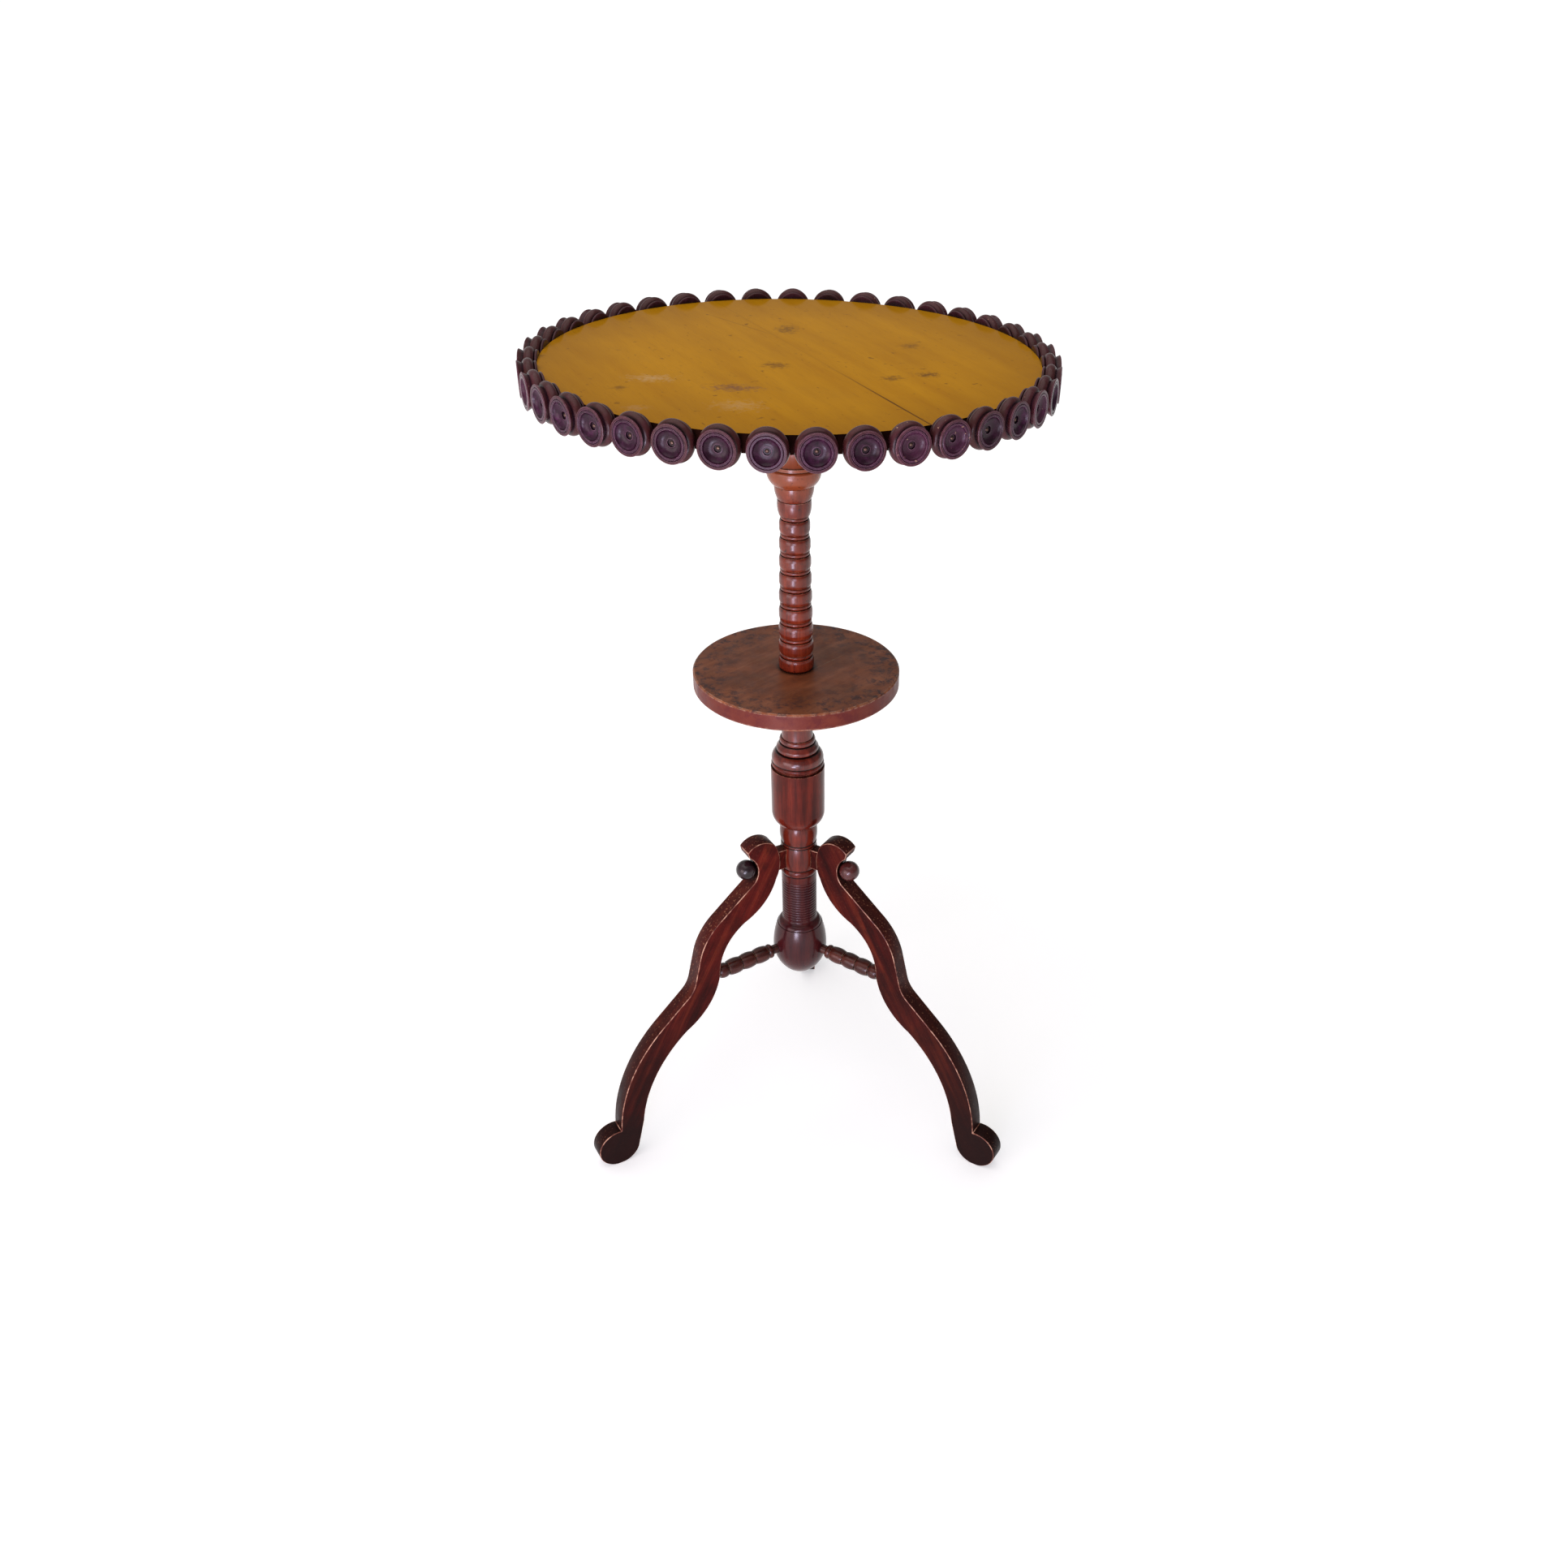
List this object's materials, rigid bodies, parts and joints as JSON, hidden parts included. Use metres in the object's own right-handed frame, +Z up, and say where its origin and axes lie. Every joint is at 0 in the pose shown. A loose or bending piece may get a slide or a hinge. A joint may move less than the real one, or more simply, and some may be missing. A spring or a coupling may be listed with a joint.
{
  "type": "wine table",
  "caption": "Tripod wine table with a round top edged by turned roundels, a beaded column, a small round shelf and three shaped legs braced by turned stretchers.",
  "frame": {"origin": "on the floor, under the axis of the column", "axes": "+Z up along the column; +Y towards the back leg, so the two other legs point to the front left and front right"},
  "size_m": [0.4044, 0.4274, 0.7495],
  "materials": {
    "top_wood": "satin varnish over a mustard-coloured board",
    "roundel_wood": "dark stained and French polished",
    "column_wood": "French polished mahogany colour",
    "shelf_wood": "worn polish",
    "stem_wood": "French polished mahogany colour",
    "leg_wood": "polished, dark towards the feet",
    "ball_wood": "dark polish",
    "stretcher_wood": "dark polish",
    "cleat_wood": "plain, unpolished",
    "pin_brass": "dull",
    "screw_steel": "dull"
  },
  "bodies": {
    "root": {"top_board_wide": "top_wood", "top_board_narrow": "top_wood", "top_cleat": "cleat_wood", "cleat_screws": "screw_steel", "upper_column": "column_wood", "shelf": "shelf_wood", "lower_column": "stem_wood", "roundel_pins": "pin_brass", "leg_left": "leg_wood", "ball_left": "ball_wood", "stretcher_left": "stretcher_wood", "leg_right": "leg_wood", "ball_right": "ball_wood", "stretcher_right": "stretcher_wood", "leg_back": "leg_wood", "ball_back": "ball_wood", "stretcher_back": "stretcher_wood", "roundel_01": "roundel_wood", "roundel_02": "roundel_wood", "roundel_03": "roundel_wood", "roundel_04": "roundel_wood", "roundel_05": "roundel_wood", "roundel_06": "roundel_wood", "roundel_07": "roundel_wood", "roundel_08": "roundel_wood", "roundel_09": "roundel_wood", "roundel_10": "roundel_wood", "roundel_11": "roundel_wood", "roundel_12": "roundel_wood", "roundel_13": "roundel_wood", "roundel_14": "roundel_wood", "roundel_15": "roundel_wood", "roundel_16": "roundel_wood", "roundel_17": "roundel_wood", "roundel_18": "roundel_wood", "roundel_19": "roundel_wood", "roundel_20": "roundel_wood", "roundel_21": "roundel_wood", "roundel_22": "roundel_wood", "roundel_23": "roundel_wood", "roundel_24": "roundel_wood", "roundel_25": "roundel_wood", "roundel_26": "roundel_wood", "roundel_27": "roundel_wood", "roundel_28": "roundel_wood", "roundel_29": "roundel_wood", "roundel_30": "roundel_wood", "roundel_31": "roundel_wood", "roundel_32": "roundel_wood", "roundel_33": "roundel_wood", "roundel_34": "roundel_wood", "roundel_35": "roundel_wood", "roundel_36": "roundel_wood", "roundel_37": "roundel_wood", "roundel_38": "roundel_wood", "roundel_39": "roundel_wood"}
  },
  "joints": []
}
